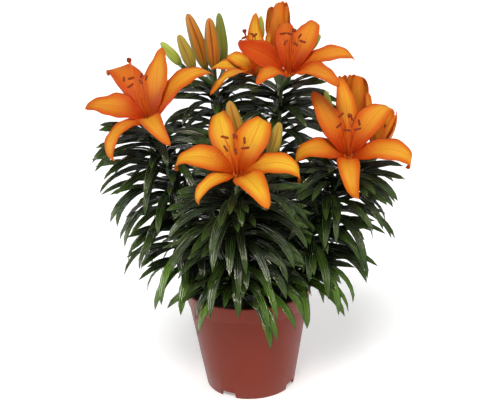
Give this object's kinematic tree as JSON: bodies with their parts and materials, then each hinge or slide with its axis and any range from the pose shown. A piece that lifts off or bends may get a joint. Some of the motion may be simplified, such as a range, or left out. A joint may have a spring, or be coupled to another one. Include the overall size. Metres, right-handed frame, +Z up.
{
  "type": "potted asiatic lily",
  "caption": "Potted Asiatic lily in bloom: leafy stems with open orange flowers, half-open flowers and buds, growing from soil in a plain terracotta-brown plastic nursery pot.",
  "frame": {"origin": "centre of the pot's foot, on the surface it stands on", "axes": "+Z up along the pot's axis, -Y towards the front of the plant as it is seen in the picture, +X to its right"},
  "size_m": [0.3237, 0.2683, 0.4154],
  "materials": {
    "pot_plastic": "satin terracotta-brown moulded polypropylene",
    "potting_soil": "matt dark peat",
    "leaf_green": "glossy living leaf",
    "tepal_orange": "soft satin petal",
    "stamen_red": "matt filament and anther",
    "bud_green": "satin closed bud"
  },
  "bodies": {
    "root": {"bud_front_1": "bud_green", "bud_front_2": "bud_green", "bud_left_1": "bud_green", "bud_left_2": "bud_green", "bud_left_3": "bud_green", "bud_left_4": "bud_green", "bud_left_5": "bud_green", "bud_right_1": "bud_green", "bud_top_1": "bud_green", "bud_top_2": "bud_green", "plant_back_left": "leaf_green", "plant_back_right": "leaf_green", "plant_front": "leaf_green", "plant_left": "leaf_green", "plant_right": "leaf_green", "pot": "pot_plastic", "soil": "potting_soil", "stamens_front": "stamen_red", "stamens_left": "stamen_red", "stamens_right_back": "stamen_red", "stamens_right_front": "stamen_red", "stamens_right_opening": "stamen_red", "stamens_top_front": "stamen_red", "stamens_top_left": "stamen_red", "stamens_top_opening": "stamen_red", "tepals_front": "tepal_orange", "tepals_left": "tepal_orange", "tepals_right_back": "tepal_orange", "tepals_right_front": "tepal_orange", "tepals_right_opening": "tepal_orange", "tepals_top_front": "tepal_orange", "tepals_top_left": "tepal_orange", "tepals_top_opening": "tepal_orange"}
  },
  "joints": []
}
